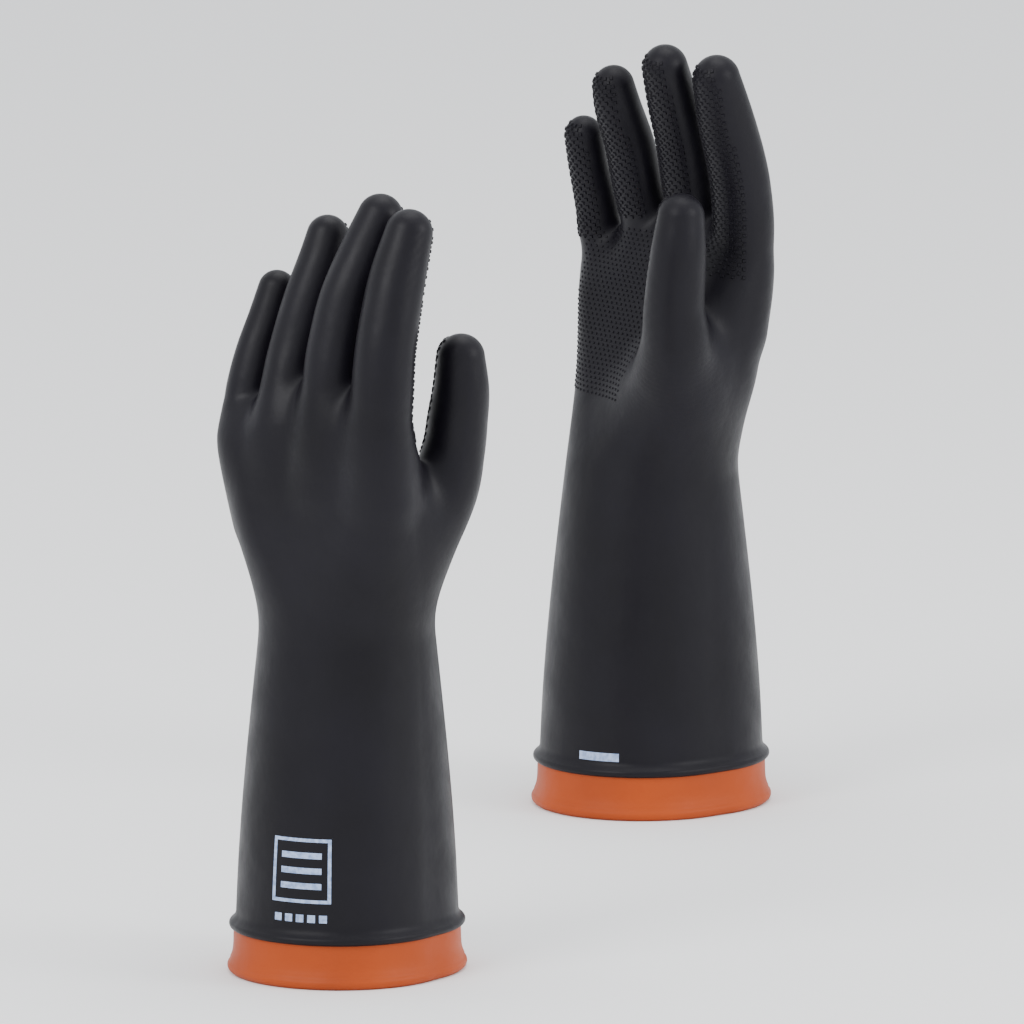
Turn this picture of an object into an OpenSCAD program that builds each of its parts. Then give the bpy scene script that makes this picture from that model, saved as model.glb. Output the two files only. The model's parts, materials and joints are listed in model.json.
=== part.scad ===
// A pair of electrical insulating gloves standing on their cuffs.
// Each glove is two bonded layers of rubber: a black shell outside, with a rolled bead at its
// edge, and an orange liner inside that runs on below the bead and flares into a lip.
// Each layer is divided where the rubber bends: at the wrist and twice in every digit.
// Millimetres, +Z up, origin on the floor at the middle of the pair's box.

/* [Layers] */
// Thickness of the black shell
shell_wall = 1.4; // [1.2:0.1:1.8]
// Thickness of the orange liner
liner_wall = 1.2; // [1.0:0.1:1.6]

/* [Cuff] */
// Half of the cuff from back of hand to palm, at the floor
cuff_half_deep = 61; // [58:0.5:64]
// Half of the cuff across the hand, at the floor
cuff_half_wide = 54; // [51:0.5:57]
// Height of the shell's rolled edge above the floor
bead_z = 21; // [18:1:26]
// Radius of the rolled edge
bead_r = 2.6; // [2:0.1:3]
// How far the liner's lip flares past the wall, from the shell's skin inwards
lip_flare = 4.6; // [3:0.2:5]

/* [Wrist] */
// Height of the wrist above the floor
wrist_z = 186; // [184:1:188]
// Radius of the wrist
wrist_r = 45; // [44:0.5:46]

/* [Bending] */
// How far each finger bends at its root, in degrees
root_flex = 35; // [20:5:35]
// How far each finger bends at its middle, in degrees
mid_flex = 35; // [20:5:35]
// How far the thumb bends at its root, in degrees
thumb_root_flex = 20; // [10:5:20]
// How far the thumb bends at its middle, in degrees
thumb_mid_flex = 25; // [10:5:25]
// How far the wrist bends each way, in degrees
wrist_flex = 20; // [10:5:20]

/* [Pair] */
// Turn of the left glove about its own upright axis
left_turn = -35; // [-60:1:-20]
// Turn of the right glove about its own upright axis
right_turn = 130; // [120:1:160]
// Sideways distance between the two gloves
pair_across = 160; // [150:1:180]
// Front to back distance between the two gloves
pair_deep = 464; // [400:1:480]

/* [Hidden] */
// In a glove's own frame +X runs to the thumb, +Y from the back of the hand to the palm.
// Every digit is a row of [x, y, z, radius]: inside the hand, root bend, middle bend, tip.
THUMB = [[47, 24, 262, 17.5], [51.5, 26.8, 288, 15.8], [54, 26.7, 308, 14.6], [54.6, 25.6, 325.5, 12.5]];
INDEX = [[42, -29, 298, 16], [42.6, -26.6, 332, 15.8], [43, -17, 367, 14.3], [44.7, -7.8, 394, 12]];
MIDDLE = [[5, -24, 298, 15.2], [7.5, -20.4, 333, 14.8], [12, -7, 371, 13.8], [17.5, 5.4, 399, 12]];
RING = [[-25.5, -20, 293, 13.9], [-24.2, -10.8, 331, 13.5], [-21.5, 0, 361, 12.6], [-19.5, 9.5, 383, 11]];
LITTLE = [[-53.5, -16, 281, 12.5], [-54.3, -8, 315, 11.2], [-52, -1.7, 332, 10.5], [-48.6, 5.6, 351, 9.7]];
DIGIT_NAMES = ["thumb", "index", "middle", "ring", "little"];
DIGITS = [THUMB, INDEX, MIDDLE, RING, LITTLE];
// Way that each digit bends, seen from above.
FINGER_BEND = [0, 1, 0];
THUMB_BEND = [-0.7, -0.7, 0];
// Swell of the hand below the thumb, from the wrist up, as [x, y, z, radius].
THUMB_PAD = [[12, 1, 208, 28], [30, 10, 227, 25], [45, 22, 256, 19]];
// Flat sections of the hand, as [x, y, z, half width, half thickness, corner radius].
PALM = [[1, -11, 230, 54, 31, 26], [-3, -18, 274, 61, 25, 21]];

SIDES = ["left", "right"];
LAYERS = ["shell", "liner"];
DIGIT_PARTS = [for (d = DIGIT_NAMES) each [str(d, "_root"), str(d, "_tip")]];
PARTS = concat(["gauntlet", "hand"], DIGIT_PARTS);

black = "#2b2a2f";
orange = "#c4602f";
ink = "#a9bde6";

layer_gap = 0.05;      // modelling clearance between the two bonded layers
joint_gap = 0.4;       // clearance where the rubber is divided
ball_gap = 0.35;       // clearance of a bend's inner ball
ball_top = 3.5;        // height of a bend's ball above its middle
taper = 1.8;           // how late the gauntlet narrows towards the wrist
big = 400;
digit_sides = 10;
cuff_sides = 24;
lip_land = 3;          // width of the flat ring that each glove stands on
print_depth = 0.25;
print_lift = 0.06;      // modelling clearance under the ink

function unit(v) = v / norm(v);
function spot(k) = [k[0], k[1], k[2]];
function bend_way(i) = i == 0 ? THUMB_BEND : FINGER_BEND;
function flex(i, joint) = i == 0
    ? (joint == 1 ? thumb_root_flex : thumb_mid_flex)
    : (joint == 1 ? root_flex : mid_flex);
// Depth of a layer's outer face below the glove's skin, and of its inner face.
function face_out(layer) = layer == "shell" ? 0 : shell_wall + layer_gap;
function face_in(layer) = layer == "shell" ? shell_wall : shell_wall + layer_gap + liner_wall;
function paint(layer) = layer == "shell" ? black : orange;

// Closed solid through rings of equal length, from the lowest ring to the highest.
module skin_rings(rings) {
    n = len(rings[0]);
    last = (len(rings) - 1) * n;
    sides = [for (j = [0 : len(rings) - 2], i = [0 : n - 1])
        each [[j * n + i, (j + 1) * n + i, (j + 1) * n + (i + 1) % n],
              [j * n + i, (j + 1) * n + (i + 1) % n, j * n + (i + 1) % n]]];
    floor_face = [for (i = [0 : n - 1]) i];
    top_face = [for (i = [n - 1 : -1 : 0]) last + i];
    polyhedron([for (r = rings) each r], concat(sides, [floor_face, top_face]));
}

// Ring of points about centre c, square to direction t.
function ring(c, t, r, n) =
    let (ex = unit([1, 0, 0] - t[0] * t), ey = cross(t, ex))
    [for (i = [0 : n - 1]) c + r * (cos(360 * i / n) * ex + sin(360 * i / n) * ey)];

function way(k, i) = unit(spot(k[min(i + 1, len(k) - 1)]) - spot(k[max(i - 1, 0)]));

// A digit's form, its skin moved in by depth, with a domed tip.
module digit_form(k, depth) {
    tip = len(k) - 1;
    dome = k[tip][3] - depth;
    body = [for (i = [0 : tip]) ring(spot(k[i]), way(k, i), k[i][3] - depth, digit_sides)];
    cap = [for (a = [30, 55, 78])
        ring(spot(k[tip]) + dome * sin(a) * way(k, tip), way(k, tip), dome * cos(a), digit_sides)];
    skin_rings(concat(body, cap));
}

// Children drawn at bend i of a digit: +Z along it, +Y the way it bends, +X along its hinge.
module at_bend(k, i, side_way) {
    t = way(k, i);
    y = unit(side_way - (side_way * t) * t);
    x = cross(y, t);
    multmatrix([[x[0], y[0], t[0], k[i][0]],
                [x[1], y[1], t[1], k[i][1]],
                [x[2], y[2], t[2], k[i][2]]]) children();
}

// Space past a bend, cut back on the side that closes as it turns. back is the flex the other way.
module past_bend(forward, back = 0) {
    g = joint_gap / 2;
    rotate([90, 0, 90]) linear_extrude(big, center = true) polygon([
        [-big, big * tan(back / 2) + g / cos(back / 2)], [0, g / cos(forward / 2)],
        [big, big * tan(forward / 2) + g / cos(forward / 2)], [big, big], [-big, big]]);
}

module before_bend(forward, back = 0) {
    mirror([0, 0, 1]) past_bend(forward, back);
}

// Ball that closes the wall of a bend from inside while it turns by up to reach degrees.
module bend_ball(r, reach, sides = digit_sides) {
    out = (r - shell_wall) * cos(180 / sides) - ball_gap;
    difference() {
        sphere(out, $fn = sides);
        sphere(out - liner_wall, $fn = sides);
        translate([0, 0, -big - out * sin(reach + 3)]) linear_extrude(big) square(big, center = true);
        translate([0, 0, ball_top]) linear_extrude(big) square(big, center = true);
    }
}

// First stretch of a digit, from its root bend to its middle bend.
module digit_root(i, layer) {
    k = DIGITS[i];
    w = bend_way(i);
    color(paint(layer)) resize([0, 0, 0]) union() {
        difference() {
            intersection() {
                digit_form(k, face_out(layer));
                at_bend(k, 1, w) past_bend(flex(i, 1));
                at_bend(k, 2, w) before_bend(flex(i, 2));
            }
            digit_form(k, face_in(layer));
            if (layer == "liner") at_bend(k, 2, w) sphere(k[2][3], $fn = digit_sides);
        }
        if (layer == "liner") at_bend(k, 1, w) bend_ball(k[1][3], flex(i, 1));
    }
}

// Last stretch of a digit, from its middle bend to its closed tip.
module digit_tip(i, layer) {
    k = DIGITS[i];
    w = bend_way(i);
    color(paint(layer)) resize([0, 0, 0]) union() {
        difference() {
            intersection() {
                digit_form(k, face_out(layer));
                at_bend(k, 2, w) past_bend(flex(i, 2));
            }
            digit_form(k, face_in(layer));
        }
        if (layer == "liner") at_bend(k, 2, w) bend_ball(k[2][3], flex(i, 2));
    }
}

module palm_section(p, depth) {
    translate([p[0], p[1], p[2]]) linear_extrude(1) hull() for (i = [-1, 1], j = [-1, 1])
        translate([i * (p[3] - p[5]), j * (p[4] - p[5])]) circle(p[5] - depth, $fn = 16);
}

// The hand from the wrist to the roots of the digits, its skin moved in by depth.
module palm_form(depth) {
    hull() {
        translate([0, 0, wrist_z - 1]) cylinder(h = 2, r = wrist_r - depth, $fn = cuff_sides);
        palm_section(PALM[0], depth);
    }
    hull() for (p = PALM) palm_section(p, depth);
    hull() {
        palm_section(PALM[1], depth);
        for (k = [INDEX, MIDDLE, RING, LITTLE])
            translate(spot(k[0])) sphere(k[0][3] - depth, $fn = digit_sides);
    }
    for (i = [0 : len(THUMB_PAD) - 2]) hull()
        for (k = [THUMB_PAD[i], THUMB_PAD[i + 1]])
            translate(spot(k)) sphere(k[3] - depth, $fn = digit_sides);
}

WRIST = [[0, 0, wrist_z - 10, wrist_r], [0, 0, wrist_z, wrist_r], [0, 0, wrist_z + 10, wrist_r]];

// Ring that joins the wrist's ball to the hand's liner.
module wrist_collar() {
    intersection() {
        past_bend(wrist_flex, wrist_flex);
        difference() {
            cylinder(h = ball_top, r = wrist_r - face_out("liner"), $fn = cuff_sides);
            translate([0, 0, -1]) cylinder(h = ball_top + 2, r = wrist_r - face_in("liner") - 1, $fn = cuff_sides);
        }
    }
}

module hand(layer) {
    color(paint(layer)) resize([0, 0, 0]) union() {
        difference() {
            intersection() {
                union() {
                    palm_form(face_out(layer));
                    for (i = [0 : len(DIGITS) - 1]) intersection() {
                        digit_form(DIGITS[i], face_out(layer));
                        at_bend(DIGITS[i], 1, bend_way(i)) before_bend(flex(i, 1));
                    }
                }
                at_bend(WRIST, 1, FINGER_BEND) past_bend(wrist_flex, wrist_flex);
            }
            palm_form(face_in(layer));
            for (i = [0 : len(DIGITS) - 1]) {
                digit_form(DIGITS[i], face_in(layer));
                if (layer == "liner")
                    at_bend(DIGITS[i], 1, bend_way(i)) sphere(DIGITS[i][1][3], $fn = digit_sides);
            }
        }
        if (layer == "liner") at_bend(WRIST, 1, FINGER_BEND) {
            bend_ball(wrist_r, wrist_flex, cuff_sides);
            wrist_collar();
        }
    }
}

// The gauntlet's oval section at height z, as half of its [width, depth] at the skin.
function wall_half(z) =
    let (ease = pow(min(1, max(0, z) / wrist_z), taper))
    [cuff_half_wide + (wrist_r - cuff_half_wide) * ease, cuff_half_deep + (wrist_r - cuff_half_deep) * ease];

function oval(z, grow) = [for (i = [0 : cuff_sides - 1])
    [(wall_half(z)[0] + grow) * cos(360 * i / cuff_sides),
     (wall_half(z)[1] + grow) * sin(360 * i / cuff_sides), z]];

GAUNTLET_Z = [40, 90, 140, wrist_z];

// Shell edge from its underside up, as [height, how far it stands out of the wall].
BEAD = [[bead_z - bead_r * 0.8, 0.6], [bead_z - bead_r * 0.6, bead_r * 0.9], [bead_z, bead_r * 1.3],
        [bead_z + bead_r * 0.9, bead_r * 0.9], [bead_z + bead_r * 2.2, 0.2]];
// Liner lip from the floor up.
LIP = [[0, lip_flare - 1], [1.4, lip_flare], [4, lip_flare * 0.85], [8, lip_flare * 0.25], [12, 0]];

module gauntlet_shell() {
    wall = [for (z = GAUNTLET_Z) oval(z, 0)];
    bore = [for (z = concat([0, bead_z - bead_r], GAUNTLET_Z, [wrist_z + 10])) oval(z, -shell_wall)];
    color(black) resize([0, 0, 0]) difference() {
        intersection() {
            skin_rings(concat([for (b = BEAD) oval(b[0], b[1])], wall));
            at_bend(WRIST, 1, FINGER_BEND) before_bend(wrist_flex, wrist_flex);
        }
        skin_rings(bore);
    }
}

module gauntlet_liner() {
    out = shell_wall + layer_gap;
    wall = [for (z = GAUNTLET_Z) oval(z, -out)];
    bore = [for (z = concat([4, 12], GAUNTLET_Z, [wrist_z + 10])) oval(z, -out - liner_wall)];
    color(orange) resize([0, 0, 0]) difference() {
        intersection() {
            skin_rings(concat([for (b = LIP) oval(b[0], b[1] - out)], wall));
            at_bend(WRIST, 1, FINGER_BEND) before_bend(wrist_flex, wrist_flex);
        }
        skin_rings(concat([oval(-1, lip_flare - 1 - out - lip_land)], bore));
        translate([0, 0, wrist_z]) sphere(wrist_r, $fn = cuff_sides);
    }
}

module gauntlet(layer) {
    if (layer == "shell") gauntlet_shell();
    else gauntlet_liner();
}

// The wall's own rings from the bead up, moved out, so that a film lies evenly on its flats.
function film_rings(out) = [oval(BEAD[4][0], BEAD[4][1] + out), oval(40, out), oval(90, out)];

// Film of ink on the cuff, shaped by its 2D child seen along +Y from in front of the cuff.
module ink_on_cuff(turn) {
    color(ink) resize([0, 0, 0]) intersection() {
        difference() {
            skin_rings(film_rings(print_lift + print_depth));
            skin_rings(film_rings(print_lift));
        }
        rotate([0, 0, turn]) rotate([90, 0, 0]) linear_extrude(big) children();
    }
}

// Plain data panel: a frame with three bars in it, over a row of boxes.
module panel_marks() {
    translate([0, 66]) difference() {
        offset(3) square([26, 28], center = true);
        offset(1.8) square([26, 28], center = true);
    }
    for (y = [58, 66, 74]) translate([0, y]) square([22, 3], center = true);
    for (x = [-12 : 6 : 12]) translate([x, 38]) square(4, center = true);
}

module bar_mark() {
    translate([0, bead_z + 10.5]) square([22, 5.5], center = true);
}

// A glove's own frame set where that glove stands.
module stand(side) {
    across = side == "left" ? -pair_across / 2 : pair_across / 2;
    deep = side == "left" ? -pair_deep / 2 : pair_deep / 2;
    translate([across, deep, 0]) rotate([0, 0, side == "left" ? left_turn : right_turn])
        mirror([side == "left" ? 0 : 1, 0, 0]) children();
}

for (side = SIDES) stand(side) {
    for (layer = LAYERS) {
        gauntlet(layer);
        hand(layer);
        for (i = [0 : len(DIGITS) - 1]) {
            digit_root(i, layer);
            digit_tip(i, layer);
        }
    }
    if (side == "left")
        ink_on_cuff(11) panel_marks();  // left_cuff_print
    if (side == "right")
        ink_on_cuff(158) bar_mark();  // right_cuff_print
}
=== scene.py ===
import json
import math

import bmesh
import bpy
import numpy as np
import openvdb
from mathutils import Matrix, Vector

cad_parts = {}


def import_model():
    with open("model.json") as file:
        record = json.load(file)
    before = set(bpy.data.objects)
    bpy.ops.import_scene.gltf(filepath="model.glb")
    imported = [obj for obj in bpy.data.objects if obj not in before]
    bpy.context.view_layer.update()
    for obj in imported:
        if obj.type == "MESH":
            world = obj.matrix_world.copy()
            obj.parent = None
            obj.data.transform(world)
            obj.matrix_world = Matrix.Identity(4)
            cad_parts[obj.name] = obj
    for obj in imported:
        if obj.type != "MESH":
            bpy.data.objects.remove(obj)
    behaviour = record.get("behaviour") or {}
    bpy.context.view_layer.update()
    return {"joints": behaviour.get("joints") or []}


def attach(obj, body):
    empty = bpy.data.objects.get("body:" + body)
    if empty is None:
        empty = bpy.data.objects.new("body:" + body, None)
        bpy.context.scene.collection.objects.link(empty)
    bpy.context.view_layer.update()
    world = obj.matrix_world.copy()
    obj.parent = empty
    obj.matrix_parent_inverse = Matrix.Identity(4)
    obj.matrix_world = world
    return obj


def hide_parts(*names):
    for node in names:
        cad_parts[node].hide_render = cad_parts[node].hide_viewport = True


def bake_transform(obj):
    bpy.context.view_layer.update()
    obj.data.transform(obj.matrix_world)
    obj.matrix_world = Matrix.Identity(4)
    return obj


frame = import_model()

# Lengths are millimetres in a glove's own frame until a piece is placed: u runs to the thumb,
# v from the back of the hand to the palm, z up. The right glove is the left one mirrored.
SHELL_WALL = 1.4
LINER_WALL = 1.2
BEAD_Z = 25.4
BEAD_R = 2.3
WRIST_Z = 186.0
SLEEVE_TOP = 120.0
SIDES = {"left": dict(turn=-35.0, at=(-80.0, -232.0)), "right": dict(turn=130.0, at=(80.0, 232.0))}

# Each digit's middle line from inside the hand to its tip, as (u, v, z, radius).
DIGITS = {
    "thumb": [(12, 1, 204, 29), (30, 10, 227, 25), (45, 21, 254, 19), (49.5, 26, 275, 16.4),
              (52, 26.7, 293, 15.6), (54, 26.7, 308, 14.6), (54.6, 25.6, 325.5, 12.5)],
    "index": [(39, -24.5, 258, 15), (40.5, -28, 282, 15.6), (42.2, -28.5, 310, 16.2),
              (42.6, -26.6, 332, 15.8), (42.8, -22.5, 350, 15.5), (43, -15.5, 372, 14.7),
              (44.7, -7.4, 395, 12.5)],
    "middle": [(6, -26, 260, 14), (6.5, -27.2, 286, 15), (7, -23.5, 318, 15), (7.6, -20, 335, 14.8),
               (9.4, -13.8, 357, 14.2), (13.1, -4.4, 378, 13.5), (17.5, 5.4, 399, 12)],
    "ring": [(-25, -22, 260, 13), (-25.5, -22.8, 288, 14.3), (-25, -16.5, 314, 13.8),
             (-24.4, -11.5, 329, 13.5), (-22.3, -3.9, 351, 13), (-20.2, 5.8, 372, 12.2),
             (-19.3, 10, 384.5, 11)],
    "little": [(-45, -16, 236, 10), (-52.5, -16.8, 278, 13.2), (-55, -11.8, 298, 12.1),
               (-54.4, -9, 311, 11.5), (-53.2, -4.8, 324, 11), (-51.1, 0.6, 338, 10.5),
               (-48.8, 6, 354, 9.9)],
}
# How widely a digit runs into its neighbours, below and above the webs.
WEB_LOW, WEB_HIGH = 11.0, 2.5
THUMB_WEB = 16.0
# Heights of the webs' top edge at places across the hand, halfway through the palm.
WEB_ACROSS, WEB_TOP = [-62, -40, -8, 25, 48], [296, 305, 318, 316, 304]

# Sections of the sleeve and hand: height, centre u and v, half width, half thickness, corner,
# and lean, which is how much the centre's v grows for each millimetre towards the thumb.
SECTIONS = np.array([
    (-20, 0, 0, 55, 61.8, 55, 0), (20, 0, 0, 54.7, 61.4, 54.7, 0), (60, 0, 0, 53.4, 59.4, 53.4, 0),
    (90, 0, 0, 51.9, 56.9, 51.9, 0), (120, 0, 0, 49.9, 53.7, 49.9, 0), (155, 0, 0, 47.5, 49.3, 47.5, 0),
    (186, 0, 0, 45.2, 45, 44.8, 0), (208, 0, -5, 48.5, 39, 37, 0), (230, 0, -11, 54, 32, 28, 0),
    (255, -2, -15, 57.5, 26.5, 23, -0.03), (280, -4.5, -18.5, 60.5, 20.5, 18.5, -0.07),
    (300, -4.5, -18.5, 57.5, 15.5, 15, -0.14), (330, -4.5, -18.5, 56, 14, 13.5, -0.16)], float)
FINE_Z = np.arange(-20.0, 331.0, 1.0)
SPREAD = np.exp(-0.5 * (np.arange(-24, 25) / 8.0) ** 2)


def smoothed(column):
    """A section value at every millimetre of height, with the corners between rows rounded off."""
    rough = np.interp(FINE_Z, SECTIONS[:, 0], SECTIONS[:, column])
    return np.convolve(np.pad(rough, 24, mode="edge"), SPREAD / SPREAD.sum(), mode="valid")


SECTION = [smoothed(c) for c in range(1, 7)]


def section_distance(u, v, z, depth):
    cu, cv, hu, hv, corner, lean = [np.interp(z, FINE_Z, s) for s in SECTION]
    qu = np.abs(u - cu) - (hu - corner)
    qv = np.abs(v - cv - lean * (u - cu)) - (hv - corner)
    outside = np.hypot(np.maximum(qu, 0), np.maximum(qv, 0))
    return outside + np.minimum(np.maximum(qu, qv), 0) - (corner - depth)


def smooth_min(a, b, k):
    h = np.maximum(k - np.abs(a - b), 0) / k
    return np.minimum(a, b) - h * h * k * 0.25


def dense(knots, steps=12):
    """The knots joined by a smooth curve."""
    k = np.array(knots, float)
    p = np.vstack([2 * k[0] - k[1], k, 2 * k[-1] - k[-2]])
    out = []
    for i in range(len(k) - 1):
        a, b, c, d = p[i:i + 4]
        for t in np.arange(steps) / steps:
            out.append(0.5 * (2 * b + (c - a) * t + (2 * a - 5 * b + 4 * c - d) * t ** 2
                              + (3 * b - a - 3 * c + d) * t ** 3))
    return np.array(out + [k[-1]])


LINES = {name: dense(knots) for name, knots in DIGITS.items()}


def digit_distance(p, line, depth):
    # Points well clear of the digit can't change the skin, so they aren't measured.
    margin = line[:, 3].max() + 26
    close = np.all((p > line[:, :3].min(0) - margin) & (p < line[:, :3].max(0) + margin), axis=1)
    q = p[close]
    best = np.full(len(q), 1e3)
    for a, b in zip(line[:-1], line[1:]):
        d = b[:3] - a[:3]
        t = np.clip((q - a[:3]) @ d / (d @ d), 0, 1)
        reach = np.linalg.norm(q - a[:3] - t[:, None] * d, axis=1)
        best = np.minimum(best, reach - (a[3] + (b[3] - a[3]) * t))
    far = np.full(len(p), 1e3)
    far[close] = best
    return far + depth


def skin(p, depth=0.0):
    """Distance of points from the glove's skin moved in by depth, negative inside."""
    u, v, z = p.T
    palm = section_distance(u, v, z, depth)
    # The webs between the fingers stand higher at the back of the hand than at the palm.
    webs = np.interp(u, WEB_ACROSS, WEB_TOP) - 0.2 * (v + 20)
    body = -smooth_min(-palm, webs - z - depth, 30.0)
    # The little finger's web is lower than the others, so all heights there count as higher.
    finger_web = np.interp(z - np.interp(u, [-45, -20], [-12, 0]), [292, 332], [WEB_LOW, WEB_HIGH])
    for name in DIGITS:
        web = THUMB_WEB if name == "thumb" else finger_web
        body = smooth_min(body, digit_distance(p, LINES[name], depth), web)
    return body


def slope(p, depth=0.0, h=0.25):
    g = np.stack([skin(p + h * e, depth) - skin(p - h * e, depth) for e in np.eye(3)], 1)
    return g / np.maximum(np.linalg.norm(g, axis=1), 1e-9)[:, None]


def settle(p, depth=0.0, rounds=4):
    """Points moved onto the skin, and the skin's direction there."""
    for _ in range(rounds):
        p = p - skin(p, depth)[:, None] * slope(p, depth)
    return p, slope(p, depth)


def skin_mesh(depth, cell):
    low, high = np.array([-74.0, -62.0, SLEEVE_TOP - 8]), np.array([80.0, 66.0, 418.0])
    count = np.ceil((high - low) / cell).astype(int)
    axes = [low[i] + cell * np.arange(count[i]) for i in range(3)]
    grid = np.stack(np.meshgrid(*axes, indexing="ij"), -1).reshape(-1, 3)
    values = np.concatenate([skin(part, depth) for part in np.array_split(grid, 24)])
    # The block reaches below the cut made further down, so the skin's lower edge is a clean ring.
    field = np.clip(values, -4 * cell, 4 * cell).reshape(count).astype(np.float32)
    volume = openvdb.FloatGrid(4 * cell)
    volume.copyFromArray(field)
    points, quads = volume.convertToQuads(0.0)
    points, quads = points.astype(float) * cell + low, quads.astype(int)
    mesh = bpy.data.meshes.new("skin")
    mesh.from_pydata(points.tolist(), [], quads.tolist())
    bm = bmesh.new()
    bm.from_mesh(mesh)
    bmesh.ops.bisect_plane(bm, geom=bm.verts[:] + bm.edges[:] + bm.faces[:], dist=1e-4,
                           plane_co=(0, 0, SLEEVE_TOP), plane_no=(0, 0, 1), clear_inner=True)
    bm.verts.index_update()
    points = np.array([v.co for v in bm.verts])
    faces = [[v.index for v in f.verts] for f in bm.faces]
    bm.free()
    moved, normals = settle(points, depth)
    rim = points[:, 2] < SLEEVE_TOP + 0.01
    moved[rim, 2] = SLEEVE_TOP
    # Faces must look outwards.
    f = faces[len(faces) // 2]
    facing = np.cross(moved[f[1]] - moved[f[0]], moved[f[2]] - moved[f[0]]) @ normals[f[0]]
    if facing < 0:
        faces = [f[::-1] for f in faces]
    return moved, normals, faces


# Places of the bends, from the frame, taken back into the glove's own frame.
def own_frame(side, point):
    a = -math.radians(SIDES[side]["turn"])
    x, y = np.array(point[:2]) * 1000 - SIDES[side]["at"]
    u = x * math.cos(a) - y * math.sin(a)
    v = x * math.sin(a) + y * math.cos(a)
    return np.array([-u if side == "right" else u, v, point[2] * 1000])


def world(side, p):
    q = np.array(p, float).reshape(-1, 3).copy()
    if side == "right":
        q[:, 0] *= -1
    a = math.radians(SIDES[side]["turn"])
    x = q[:, 0] * math.cos(a) - q[:, 1] * math.sin(a) + SIDES[side]["at"][0]
    y = q[:, 0] * math.sin(a) + q[:, 1] * math.cos(a) + SIDES[side]["at"][1]
    return np.stack([x, y, q[:, 2]], 1) / 1000


def world_way(side, n):
    return world(side, n) * 1000 - [*SIDES[side]["at"], 0]


JOINT = {j["name"]: j for j in frame["joints"]}
BENDS = {}
for name, line in LINES.items():
    hinges = [own_frame("left", JOINT[f"left_{name}_{w}_bend"]["pos_m"]) for w in ("root", "middle")]
    ways = []
    for h in hinges:
        i = int(np.clip(np.argmin(np.linalg.norm(line[:, :3] - h, axis=1)), 1, len(line) - 2))
        d = line[i + 1, :3] - line[i - 1, :3]
        ways.append(d / np.linalg.norm(d))
    gap = np.linalg.norm(hinges[1] - hinges[0])
    radius = line[np.argmin(np.linalg.norm(line[:, :3] - hinges[0], axis=1)), 3]
    half = min(0.34 * gap, 0.75 * radius)
    BENDS[name] = dict(hinges=hinges, ways=ways, half=half, middle=(hinges[0] + hinges[1]) / 2)


def parts_of(p):
    """The piece that each point belongs to: hand, or a digit's root or tip."""
    label = np.full(len(p), "hand", dtype="U14")
    owner = np.argmin([digit_distance(p, LINES[n], 0.0) for n in DIGITS], axis=0)
    for i, name in enumerate(DIGITS):
        b = BENDS[name]
        start = b["hinges"][0] - b["ways"][0] * (b["half"] + 1.8)
        across = b["hinges"][1] - b["hinges"][0]
        mine = (owner == i) & ((p - start) @ b["ways"][0] > 0)
        label[mine] = name + "_root"
        label[mine & ((p - b["middle"]) @ across > 0)] = name + "_tip"
    return label


def pyramids(points, normals, along, size, height):
    """A low blunt pyramid on each point, square to the surface, one side along the digit."""
    side_way = np.cross(normals, along)
    side_way /= np.linalg.norm(side_way, axis=1)[:, None]
    up_way = np.cross(side_way, normals)
    verts, faces = [], []
    for lift, half in ((-0.35, size / 2), (0.0, size / 2), (height, size * 0.33)):
        for a, b in ((-1, -1), (1, -1), (1, 1), (-1, 1)):
            verts.append(points + half * (a * side_way + b * up_way) + lift * normals)
    verts = np.stack(verts, 1).reshape(-1, 3)
    for i in range(len(points)):
        o = i * 12
        for ring in (0, 4):
            for k in range(4):
                n = (k + 1) % 4
                faces.append([o + ring + k, o + ring + n, o + ring + 4 + n, o + ring + 4 + k])
        faces.append([o + 8, o + 9, o + 10, o + 11])
    return verts, faces


def cast(start, way, limit=90.0):
    """Points where lines from start along way meet the skin, and which of them do."""
    p, gone = start.copy(), np.zeros(len(start))
    for _ in range(60):
        step = np.clip(skin(p), -2, 6) * 0.9
        p = p + way * step[:, None]
        gone += step
    return p, (np.abs(skin(p)) < 0.05) & (gone < limit)


# The grip's steps along and round a digit, its steps up and across the palm, and the heights
# that it lies between there.
ROW_STEP, COLUMN_STEP = 2.3, 4.8
PALM_ROW_STEP, PALM_COLUMN_STEP = 2.4, 3.6
PALM_GRIP_LOW, PALM_GRIP_HIGH = 221, 306
# How far before a digit's root bend its rows start, how far round it they reach (in radians
# from the middle of its palm side), and the bumps' width and height, with the palm's share.
GRIP_START = {"thumb": 16, "index": 44, "middle": 16, "ring": 16, "little": 16}
GRIP_REACH, THUMB_GRIP_REACH = 0.95, 0.8
DIGIT_BUMP, BUMP_HEIGHT = 2.0, 0.7
PALM_BUMP_SCALE = 0.66


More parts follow.
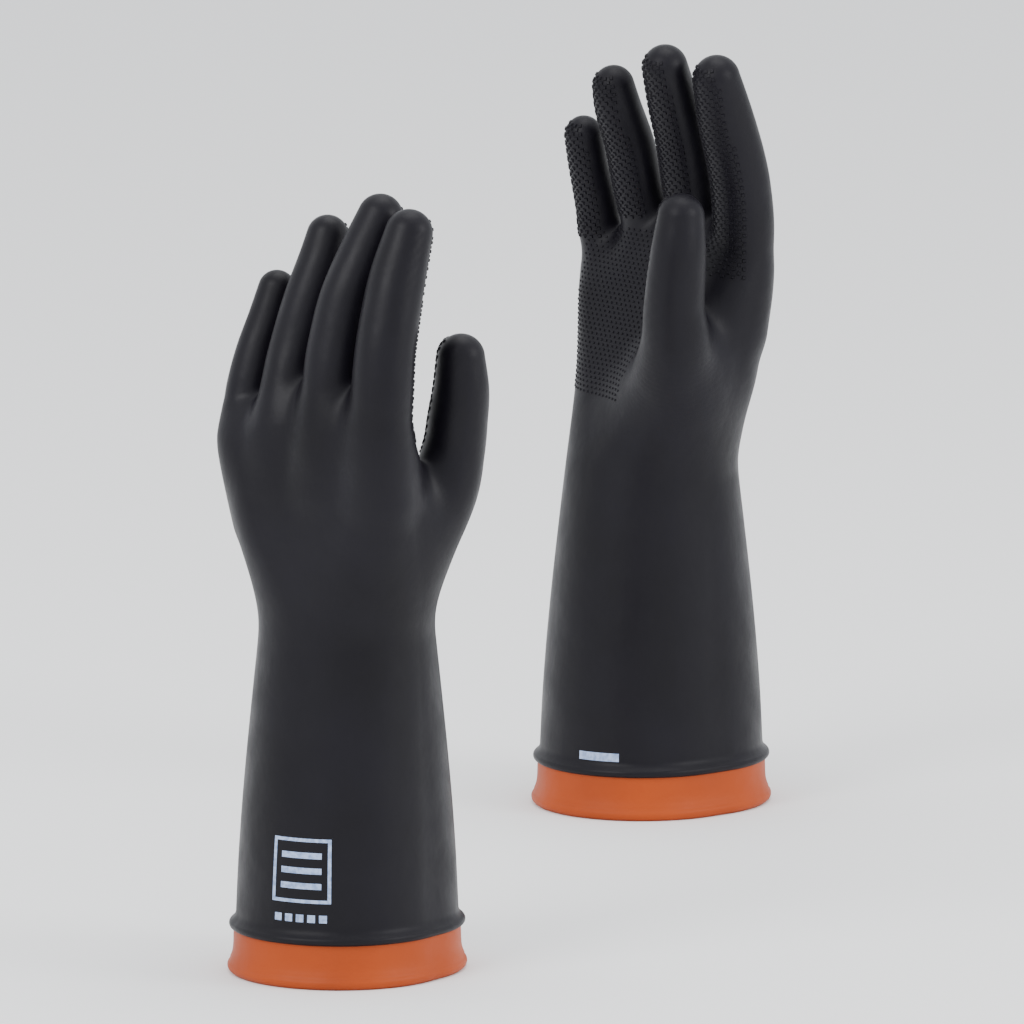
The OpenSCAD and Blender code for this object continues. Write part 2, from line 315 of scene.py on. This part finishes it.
def grip():
    """The grip's bumps: points, skin directions, long ways, and which of them are on the palm."""
    found = []
    for name, line in LINES.items():
        b = BENDS[name]
        lengths = np.concatenate([[0], np.cumsum(np.linalg.norm(np.diff(line[:, :3], axis=0), axis=1))])
        begin = lengths[np.argmin(np.linalg.norm(line[:, :3] - b["hinges"][0], axis=1))]
        begin -= GRIP_START[name]
        reach = THUMB_GRIP_REACH if name == "thumb" else GRIP_REACH
        for row, s in enumerate(np.arange(begin, lengths[-1] + 0.95 * line[-1, 3], ROW_STEP)):
            c = np.array([np.interp(s, lengths, line[:, i]) for i in range(4)])
            w = np.array([np.interp(s, lengths[1:], np.diff(line[:, i])) for i in range(3)])
            w /= np.linalg.norm(w)
            palmward = np.array([-1.0, 0.06, 0]) if name == "thumb" else np.array([0, 1.0, 0])
            palmward = palmward - (palmward @ w) * w
            palmward /= np.linalg.norm(palmward)
            across = np.cross(palmward, w)
            angles = (np.arange(-4, 5) + 0.5 * (row % 2)) * COLUMN_STEP / c[3]
            angles = angles[np.abs(angles) < reach]
            ways = np.cos(angles)[:, None] * palmward + np.sin(angles)[:, None] * across
            # Past the last knot the rows climb over the domed tip.
            tilt = max(0.0, s - lengths[-1]) / c[3]
            ways = math.cos(tilt) * ways + math.sin(tilt) * w
            found.append((c[:3] + ways * (c[3] + 8), -ways, np.tile(w, (len(ways), 1)), False))
    for row, z in enumerate(np.arange(PALM_GRIP_LOW, PALM_GRIP_HIGH, PALM_ROW_STEP)):
        us = np.arange(-54, 36, PALM_COLUMN_STEP) + PALM_COLUMN_STEP / 2 * (row % 2)
        start = np.stack([us, np.full(len(us), 60.0), np.full(len(us), z)], 1)
        found.append((start, np.tile([0, -1.0, 0], (len(us), 1)), np.tile([0, 0, 1.0], (len(us), 1)), True))
    start, way, along = [np.concatenate([f[i] for f in found]) for i in range(3)]
    on_palm = np.concatenate([np.full(len(f[0]), f[3]) for f in found])
    p, hit = cast(start, way)
    n = slope(p)
    hit &= (n * way).sum(1) < -0.5
    # The thumb's swell and the digits have their own rows, so the palm's stop short of them.
    near = np.min([digit_distance(p, LINES[k], 0.0) for k in DIGITS], axis=0)
    thumb = digit_distance(p, LINES["thumb"], 0.0)
    hit &= ~(on_palm & (thumb < 2.5))
    hit &= ~(on_palm & (near < 0.6) & (p[:, 2] > 304))
    return p[hit], n[hit], along[hit], on_palm[hit]


def cuff_point(turn, z, out):
    """The points at the given turns round the cuff, at height z and a distance out of its skin."""
    way = np.stack([np.cos(turn), np.sin(turn)], 1)
    z = np.full(len(turn), float(z))
    low, high = np.full(len(turn), 20.0), np.full(len(turn), 90.0)
    for _ in range(30):
        mid = (low + high) / 2
        inside = section_distance(mid * way[:, 0], mid * way[:, 1], z, 0.0) < 0
        low, high = np.where(inside, mid, low), np.where(inside, high, mid)
    return np.column_stack([(low + out)[:, None] * way, z])


def ring_mesh(profile, segments=160):
    """A band swept round the cuff through (height, distance out of the skin) points."""
    turn = np.linspace(0, 2 * math.pi, segments, endpoint=False)
    rings = [cuff_point(turn, z, out) for z, out in profile]
    points = np.concatenate(rings)
    n = segments
    faces = [[j * n + i, j * n + (i + 1) % n, (j + 1) * n + (i + 1) % n, (j + 1) * n + i]
             for j in range(len(profile) - 1) for i in range(n)]
    return points, faces


def arc(z, out, radius, start, end, count):
    """Part of a circle as (height, distance out) points. 0 points outwards and 90 up."""
    angles = np.radians(np.linspace(start, end, count))
    return [(z + radius * math.sin(a), out + radius * math.cos(a)) for a in angles]


def fillet(z_from, z_to, out, count):
    return [(z_from + (z_to - z_from) * t, out * (1 - t) ** 2.6) for t in np.linspace(0, 1, count)[1:]]


SHELL_PROFILE = (
    [(BEAD_Z, -SHELL_WALL), (BEAD_Z - BEAD_R * 0.95, -0.2)]
    + arc(BEAD_Z, 1.1, BEAD_R, -88, 60, 14)
    + fillet(BEAD_Z + BEAD_R * 0.87, BEAD_Z + 7, 2.2, 8)
    + [(z, 0.0) for z in np.linspace(BEAD_Z + 10, SLEEVE_TOP, 34)])
WALL_OUT = 0.9
LIP_OUT, LIP_R = 0.8, 3.1
LINER_PROFILE = (
    [(z, -SHELL_WALL - LINER_WALL) for z in np.linspace(SLEEVE_TOP, 12, 20)]
    + [(7, -2.0), (3.5, -1.2), (1.2, -0.4), (0.25, 0.2), (0.0, 0.7), (0.0, 1.6)]
    + arc(LIP_R + 0.15, LIP_OUT, LIP_R, -72, 52, 14)
    + [(7.2, 2.45), (8.6, 1.85), (10.4, 1.35), (12.6, 1.02), (15, WALL_OUT), (19, WALL_OUT), (23, WALL_OUT)])


# Materials
def material(name):
    m = bpy.data.materials.new(name)
    m.use_nodes = True
    tree = m.node_tree
    return m, tree, tree.nodes["Principled BSDF"]


def noise(tree, scale, detail=4.0):
    place = tree.nodes.new("ShaderNodeTexCoord")
    n = tree.nodes.new("ShaderNodeTexNoise")
    n.inputs["Scale"].default_value = scale
    n.inputs["Detail"].default_value = detail
    tree.links.new(place.outputs["Object"], n.inputs["Vector"])
    return n


def ramp(tree, source, low, high, start=0.3, end=0.7):
    r = tree.nodes.new("ShaderNodeValToRGB")
    r.color_ramp.elements[0].position, r.color_ramp.elements[1].position = start, end
    r.color_ramp.elements[0].color, r.color_ramp.elements[1].color = (*low, 1), (*high, 1)
    tree.links.new(source.outputs["Fac"], r.inputs["Fac"])
    return r


def rubber(name, dark, light, rough_low, rough_high, grain, specular):
    """Moulded rubber: a cloudy bloom of colour, uneven gloss, slow ripples and a fine grain."""
    m, tree, shader = material(name)
    colour = ramp(tree, noise(tree, 14, 5), dark, light)
    tree.links.new(colour.outputs["Color"], shader.inputs["Base Color"])
    gloss = ramp(tree, noise(tree, 45, 6), (rough_low,) * 3, (rough_high,) * 3)
    tree.links.new(gloss.outputs["Color"], shader.inputs["Roughness"])
    shader.inputs["Specular IOR Level"].default_value = specular
    fine, slow = noise(tree, 2600, 3), noise(tree, 60, 3)
    first, second = tree.nodes.new("ShaderNodeBump"), tree.nodes.new("ShaderNodeBump")
    first.inputs["Strength"].default_value, first.inputs["Distance"].default_value = 0.25, 0.002
    second.inputs["Strength"].default_value, second.inputs["Distance"].default_value = grain, 0.00015
    tree.links.new(slow.outputs["Fac"], first.inputs["Height"])
    tree.links.new(fine.outputs["Fac"], second.inputs["Height"])
    tree.links.new(first.outputs["Normal"], second.inputs["Normal"])
    tree.links.new(second.outputs["Normal"], shader.inputs["Normal"])
    return m


BLACK = rubber("black_rubber", (0.0036, 0.0031, 0.0050), (0.0062, 0.0055, 0.0088), 0.36, 0.50, 0.5, 0.17)
ORANGE = rubber("orange_rubber", (0.31, 0.044, 0.0045), (0.39, 0.058, 0.0065), 0.42, 0.58, 0.5, 0.2)
INK, ink_tree, ink_shader = material("cuff_print")
ink_colour = ramp(ink_tree, noise(ink_tree, 420, 6), (0.20, 0.28, 0.47), (0.36, 0.46, 0.68), 0.35, 0.6)
ink_tree.links.new(ink_colour.outputs["Color"], ink_shader.inputs["Base Color"])
ink_rough = ramp(ink_tree, noise(ink_tree, 300, 4), (0.45,) * 3, (0.6,) * 3)
ink_tree.links.new(ink_rough.outputs["Color"], ink_shader.inputs["Roughness"])


def piece(name, side, points, faces, mat, normals=None, flat_from=None):
    """A mesh object placed in the row frame. Faces after flat_from stay faceted."""
    if side == "right":
        faces = [f[::-1] for f in faces]
    mesh = bpy.data.meshes.new(name)
    mesh.from_pydata(world(side, points).tolist(), [], faces)
    mesh.materials.append(mat)
    smooth = np.ones(len(mesh.polygons), bool)
    if flat_from is not None:
        smooth[flat_from:] = False
    mesh.polygons.foreach_set("use_smooth", smooth)
    mesh.update()
    if normals is not None:
        corner_vertex = np.empty(len(mesh.loops), int)
        mesh.loops.foreach_get("vertex_index", corner_vertex)
        ways = np.zeros((len(points), 3))
        ways[:len(normals)] = world_way(side, normals)
        mesh.normals_split_custom_set(ways[corner_vertex].tolist())
    obj = bpy.data.objects.new(name, mesh)
    bpy.context.scene.collection.objects.link(obj)
    return obj


def cross_joint(obj, side, label):
    """Bakes a skin piece's placement into its mesh; the ends of the stretch round the joint that it spans
    are worked out but not used.
    """
    if label == "hand":
        tuple(world(side, (0, 0, WRIST_Z - 34))[0])
        tuple(world(side, (0, 0, WRIST_Z + 34))[0])
        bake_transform(obj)
        return
    name, stretch = label.split("_")
    b, i = BENDS[name], 0 if stretch == "root" else 1
    middle, way = b["hinges"][i], b["ways"][i] * b["half"]
    tuple(world(side, middle - way)[0])
    tuple(world(side, middle + way)[0])
    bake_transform(obj)


def split(points, normals, faces, label, picked):
    """The faces of one piece with their own points."""
    mine = [f for f, l in zip(faces, picked) if l == label]
    used = np.unique(np.concatenate([np.array(f) for f in mine]))
    index = {old: new for new, old in enumerate(used)}
    return points[used], normals[used], [[index[i] for i in f] for f in mine]


outer = skin_mesh(0.0, 1.5)
inner = skin_mesh(SHELL_WALL + LINER_WALL, 2.4)
inner = (inner[0], -inner[1], [f[::-1] for f in inner[2]])
outer_label = parts_of(np.array([outer[0][f].mean(0) for f in outer[2]]))
inner_label = parts_of(np.array([inner[0][f].mean(0) for f in inner[2]]))
dots = grip()
dot_label = parts_of(dots[0])
LABELS = ["hand"] + [f"{n}_{s}" for n in DIGITS for s in ("root", "tip")]

for side in SIDES:
    for label in LABELS:
        points, normals, faces = split(*outer, label, outer_label)
        mine = dot_label == label
        face_count = len(faces)
        if mine.any():
            big = np.where(dots[3][mine], PALM_BUMP_SCALE, 1.0)[:, None]
            bumps, bump_faces = pyramids(dots[0][mine], dots[1][mine], dots[2][mine],
                                         DIGIT_BUMP * big, BUMP_HEIGHT * big)
            o = len(points)
            points = np.concatenate([points, bumps])
            faces = faces + [[i + o for i in f] for f in bump_faces]
        rubber_piece = piece(f"{side}_{label}_rubber", side, points, faces, BLACK,
                             normals, face_count)
        cross_joint(rubber_piece, side, label)
        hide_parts(f"{side}_{label}_shell")
        points, normals, faces = split(*inner, label, inner_label)
        lining = piece(f"{side}_{label}_lining", side, points, faces, ORANGE)
        cross_joint(lining, side, label)
        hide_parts(f"{side}_{label}_liner")
    for kind, profile, mat, slot in (("shell", SHELL_PROFILE, BLACK, "black_rubber"),
                                     ("liner", LINER_PROFILE, ORANGE, "orange_rubber")):
        points, faces = ring_mesh(profile)
        cuff = piece(f"{side}_cuff_{kind}_rubber", side, points, faces, mat)
        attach(cuff, f"{side}_gauntlet")
        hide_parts(f"{side}_gauntlet_{kind}")

# The ink's thickness, the cuff's mean reach from its axis, and the height of the left panel's middle.
INK_DEPTH = 0.14
CUFF_REACH = 57.0
PANEL_Z = 62.0


def ink_patch(side, turn, boxes):
    """Ink laid on the cuff: each box is its middle (across, height) and its half size, in mm."""
    points, faces = [], []
    for x, z, half_x, half_z in boxes:
        across, up = max(2, int(half_x) + 1), max(2, int(half_z) + 1)
        o = len(points)
        turns = math.radians(turn - 90) + np.linspace(x - half_x, x + half_x, across + 1) / CUFF_REACH
        for height in np.linspace(z - half_z, z + half_z, up + 1):
            points.extend(cuff_point(turns, height, INK_DEPTH + shell_swell(height)).tolist())
        for j in range(up):
            for i in range(across):
                k = o + j * (across + 1) + i
                faces.append([k, k + 1, k + across + 2, k + across + 1])
    ink = piece(f"{side}_ink", side, np.array(points), faces, INK)
    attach(ink, f"{side}_gauntlet")
    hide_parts(f"{side}_cuff_print")


def shell_swell(z):
    """How far the bead's fillet stands out of the wall at a height."""
    rise = [p for p in SHELL_PROFILE if p[0] > BEAD_Z + BEAD_R * 0.8]
    return float(np.interp(z, [p[0] for p in rise], [p[1] for p in rise]))


frame_bars = [(0, PANEL_Z + 16, 16, 0.9), (0, PANEL_Z - 16, 16, 0.9),
              (-15.1, PANEL_Z, 0.9, 15.1), (15.1, PANEL_Z, 0.9, 15.1)]
data_bars = [(0, PANEL_Z + h, 11, 1.6) for h in (-8, 0, 8)]
boxes = [(x, PANEL_Z - 25, 2, 2) for x in (-12, -6, 0, 6, 12)]
ink_patch("left", 11, frame_bars + data_bars + boxes)
ink_patch("right", 158, [(0, 33.5, 11, 2.2)])

# Floor, light and camera
bpy.ops.mesh.primitive_plane_add(size=60, location=(0, 0, 0))
floor = bpy.context.object
floor.name = "floor"
floor_material, _, floor_shader = material("floor")
floor_shader.inputs["Base Color"].default_value = (0.9, 0.9, 0.9, 1)
floor_shader.inputs["Roughness"].default_value = 0.85
floor.data.materials.append(floor_material)

sky = bpy.data.worlds.new("studio")
bpy.context.scene.world = sky
sky.use_nodes = True
sky.node_tree.nodes["Background"].inputs["Color"].default_value = (0.95, 0.97, 1.0, 1)
sky.node_tree.nodes["Background"].inputs["Strength"].default_value = 1.35


def soft_light(name, place, size, power):
    data = bpy.data.lights.new(name, "AREA")
    data.size, data.energy = size, power
    light = bpy.data.objects.new(name, data)
    light.location = place
    aim = -np.array(place) + [0, 0, 0.25]
    light.rotation_euler = Vector(aim).to_track_quat("-Z", "Y").to_euler()
    bpy.context.scene.collection.objects.link(light)


soft_light("key", (-1.6, -1.8, 1.9), 1.2, 42)
soft_light("side", (2.0, -0.9, 1.2), 1.0, 24)
soft_light("top", (0.2, 0.3, 2.4), 1.6, 26)

# A long lens, near to a parallel view. VIEW_WIDTH metres fill the picture's width midway between
# the gloves. The aim is AIM_X across and AIM_UP up the picture plane from the pair's middle.
LENS = 1500.0
VIEW_WIDTH = 0.5396
RISE = math.radians(10.5)
AIM_X, AIM_UP = 0.0059, 0.1954
camera_data = bpy.data.cameras.new("camera")
camera_data.lens = LENS
camera_data.clip_end = 500
camera = bpy.data.objects.new("camera", camera_data)
bpy.context.scene.collection.objects.link(camera)
centre = np.array([AIM_X, AIM_UP * math.sin(RISE), AIM_UP * math.cos(RISE)])
away = LENS / camera_data.sensor_width * VIEW_WIDTH
camera.location = centre + away * np.array([0, -math.cos(RISE), math.sin(RISE)])
camera.rotation_euler = (math.pi / 2 - RISE, 0, 0)
bpy.context.scene.camera = camera

bpy.context.view_layer.update()
